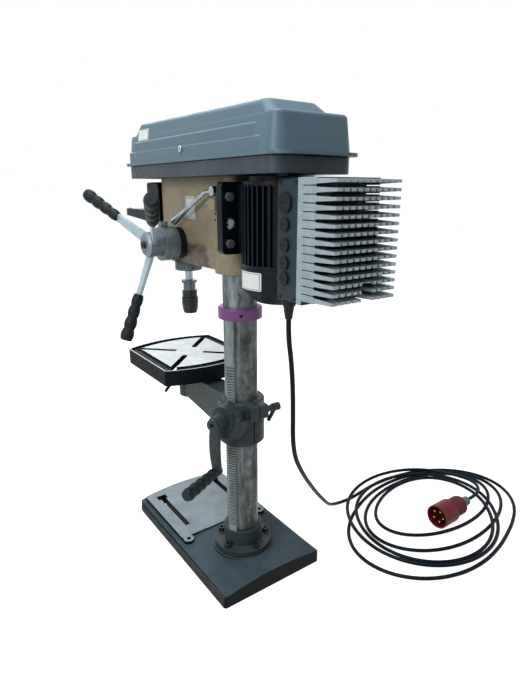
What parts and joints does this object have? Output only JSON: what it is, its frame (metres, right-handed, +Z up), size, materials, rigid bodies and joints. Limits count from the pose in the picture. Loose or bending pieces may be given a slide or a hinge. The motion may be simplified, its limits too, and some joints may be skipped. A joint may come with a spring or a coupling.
{
  "type": "bench drill",
  "caption": "Bench drill on a round column, with a rack-lifted table, feed handle, belt drive under a hinged cover and a speed control at the front",
  "frame": {"origin": "on the underside of the base, on the axis of the column", "axes": "+Z up along the column, -Y to the front where the operator stands, +X to the operator's right where the feed handle is"},
  "size_m": [0.9961, 0.8399, 0.993],
  "materials": {
    "base_paint": "satin",
    "machined_steel": "satin",
    "bright_chrome": "polished",
    "collar_purple": "satin",
    "head_beige": "satin",
    "bracket_grey": "matte",
    "table_iron": "satin",
    "dark_metal": "satin",
    "black_plastic": "matte",
    "tray_charcoal": "satin",
    "cover_blue_grey": "satin",
    "motor_black": "satin",
    "inverter_grey": "satin",
    "sink_aluminium": "satin",
    "pulley_aluminium": "satin",
    "black_rubber": "matte",
    "plug_red": "satin",
    "pin_brass": "satin",
    "button_green": "gloss",
    "button_red": "gloss"
  },
  "bodies": {
    "stand": {"base": "base_paint", "column_foot": "bracket_grey", "foot_screws": "dark_metal", "column": "machined_steel", "rack_collar": "collar_purple", "head": "head_beige", "scale_ring": "dark_metal", "spring_cap": "black_plastic", "return_spring": "machined_steel", "belt_tray": "tray_charcoal", "drive_belt": "black_rubber", "sleeve_bearings": "machined_steel", "switch_box": "black_plastic", "control_console": "black_plastic"},
    "quill": {"quill": "machined_steel", "quill_collar": "machined_steel", "spindle_bearings": "machined_steel"},
    "spindle": {"spindle": "machined_steel", "chuck_body": "dark_metal"},
    "chuck_sleeve": {"chuck_sleeve": "dark_metal"},
    "jaw_a": {"chuck_jaw_a": "machined_steel"},
    "jaw_b": {"chuck_jaw_b": "machined_steel"},
    "jaw_c": {"chuck_jaw_c": "machined_steel"},
    "spindle_pulley": {"spindle_pulley": "pulley_aluminium"},
    "feed": {"feed_shaft": "machined_steel", "feed_hub": "machined_steel", "feed_arms": "machined_steel", "feed_grips": "black_plastic", "hub_screw": "machined_steel"},
    "depth_ring": {"depth_ring": "machined_steel"},
    "motor": {"slide_bars": "machined_steel", "motor_plate": "motor_black", "motor_housing": "motor_black", "motor_bolts": "machined_steel", "fan_cowl": "motor_black", "inverter_case": "inverter_grey", "heat_sink": "sink_aluminium", "blanking_plugs": "black_plastic", "cable_gland": "black_plastic", "mains_cord": "black_rubber", "cord_coil": "black_rubber", "plug_tail": "black_rubber", "plug_body": "plug_red", "plug_pins": "pin_brass"},
    "rotor": {"motor_rotor": "machined_steel", "motor_pulley": "pulley_aluminium"},
    "cover": {"belt_cover": "cover_blue_grey", "cover_screw": "bright_chrome"},
    "motor_lever": {"motor_lever": "bright_chrome"},
    "rack": {"table_rack": "machined_steel"},
    "bracket": {"table_bracket": "bracket_grey"},
    "lift_gear": {"lift_gear": "machined_steel"},
    "crank": {"crank": "bracket_grey"},
    "crank_grip": {"crank_grip": "black_plastic"},
    "clamp_lever": {"clamp_lever": "dark_metal"},
    "table": {"table": "table_iron"},
    "table_lever": {"table_lever": "dark_metal"},
    "start_button": {"start_button": "button_green"},
    "stop_button": {"stop_button": "button_red"},
    "speed_knob": {"speed_knob": "black_plastic"}
  },
  "joints": [
    {"name": "quill_travel", "type": "slide", "parent": "stand", "child": "quill", "axis": [0, 0, -1], "range_m": [0, 0.08], "stiffness_N_per_m": 400, "springref_m": -0.25},
    {"name": "feed_turn", "type": "hinge", "parent": "stand", "child": "feed", "pos_m": [0, -0.184, 0.7375], "axis": [1, 0, 0], "range_deg": [0, 306]},
    {"name": "depth_ring_turn", "type": "hinge", "parent": "feed", "child": "depth_ring", "pos_m": [0.08, -0.184, 0.7375], "axis": [1, 0, 0], "range_deg": [-150, 150]},
    {"name": "rotor_spin", "type": "hinge", "parent": "motor", "child": "rotor", "pos_m": [0, 0.14, 0.8], "axis": [0, 0, 1], "continuous": true},
    {"name": "pulley_spin", "type": "hinge", "parent": "stand", "child": "spindle_pulley", "pos_m": [0, -0.224, 0.9], "axis": [0, 0, 1], "continuous": true},
    {"name": "spindle_spin", "type": "hinge", "parent": "quill", "child": "spindle", "pos_m": [0, -0.224, 0.7], "axis": [0, 0, 1], "continuous": true},
    {"name": "chuck_turn", "type": "hinge", "parent": "spindle", "child": "chuck_sleeve", "pos_m": [0, -0.224, 0.6], "axis": [0, 0, 1], "range_deg": [0, 360]},
    {"name": "jaw_a_slide", "type": "slide", "parent": "spindle", "child": "jaw_a", "axis": [0, -0.2756, -0.9613], "range_m": [0, 0.014]},
    {"name": "jaw_b_slide", "type": "slide", "parent": "spindle", "child": "jaw_b", "axis": [0.2387, 0.1378, -0.9613], "range_m": [0, 0.014]},
    {"name": "jaw_c_slide", "type": "slide", "parent": "spindle", "child": "jaw_c", "axis": [-0.2387, 0.1378, -0.9613], "range_m": [0, 0.014]},
    {"name": "motor_slide", "type": "slide", "parent": "stand", "child": "motor", "axis": [0, 1, 0], "range_m": [-0.01, 0.004], "deforming": ["drive_belt"]},
    {"name": "motor_lever_turn", "type": "hinge", "parent": "stand", "child": "motor_lever", "pos_m": [0.04, 0, 0.85], "axis": [-1, 0, 0], "range_deg": [0, 24]},
    {"name": "cover_open", "type": "hinge", "parent": "stand", "child": "cover", "pos_m": [-0.095, 0, 0.907], "axis": [0, -1, 0], "range_deg": [0, 100]},
    {"name": "bracket_swing", "type": "hinge", "parent": "stand", "child": "rack", "pos_m": [0, 0, 0.4], "axis": [0, 0, -1], "range_deg": [-30, 90]},
    {"name": "bracket_lift", "type": "slide", "parent": "rack", "child": "bracket", "axis": [0, 0, 1], "range_m": [-0.19, 0.1]},
    {"name": "crank_turn", "type": "hinge", "parent": "bracket", "child": "crank", "pos_m": [0, 0, 0.391], "axis": [0.8988, 0.4384, 0], "range_deg": [-10900, 5740]},
    {"name": "lift_gear_turn", "type": "hinge", "parent": "bracket", "child": "lift_gear", "pos_m": [0.05033, 0.02455, 0.369], "axis": [-0.4384, 0.8988, 0], "range_deg": [-480, 910]},
    {"name": "crank_grip_spin", "type": "hinge", "parent": "crank", "child": "crank_grip", "pos_m": [0.135, 0.0658, 0.281], "axis": [0.8988, 0.4384, 0], "continuous": true},
    {"name": "clamp_lever_turn", "type": "hinge", "parent": "bracket", "child": "clamp_lever", "pos_m": [0, 0.06, 0.398], "axis": [1, 0, 0], "range_deg": [0, 70]},
    {"name": "table_swivel", "type": "hinge", "parent": "bracket", "child": "table", "pos_m": [0, -0.238, 0.44], "axis": [0, 0, 1], "range_deg": [-90, 90]},
    {"name": "table_lever_turn", "type": "hinge", "parent": "bracket", "child": "table_lever", "pos_m": [0.04, -0.238, 0.4], "axis": [1, 0, 0], "range_deg": [-60, 0]},
    {"name": "start_press", "type": "slide", "parent": "stand", "child": "start_button", "axis": [0, 0, -1], "range_m": [0, 0.004], "stiffness_N_per_m": 600, "springref_m": -0.002},
    {"name": "stop_press", "type": "slide", "parent": "stand", "child": "stop_button", "axis": [0, 0, -1], "range_m": [0, 0.004], "stiffness_N_per_m": 600, "springref_m": -0.002},
    {"name": "speed_knob_turn", "type": "hinge", "parent": "stand", "child": "speed_knob", "pos_m": [0, -0.435, 0.81], "axis": [0, 0, 1], "range_deg": [0, 270]}
  ],
  "couplings": [
    {"joint": "feed_turn", "follows": "quill_travel", "rad_per_m": 66.667},
    {"joint": "pulley_spin", "follows": "rotor_spin", "ratio": 0.8198},
    {"joint": "spindle_spin", "follows": "rotor_spin", "ratio": 0.8198},
    {"joint": "jaw_a_slide", "follows": "chuck_turn", "m_per_rad": 0.0022282},
    {"joint": "jaw_b_slide", "follows": "chuck_turn", "m_per_rad": 0.0022282},
    {"joint": "jaw_c_slide", "follows": "chuck_turn", "m_per_rad": 0.0022282},
    {"joint": "crank_turn", "follows": "bracket_lift", "rad_per_m": 1000},
    {"joint": "lift_gear_turn", "follows": "bracket_lift", "rad_per_m": -83.333}
  ]
}
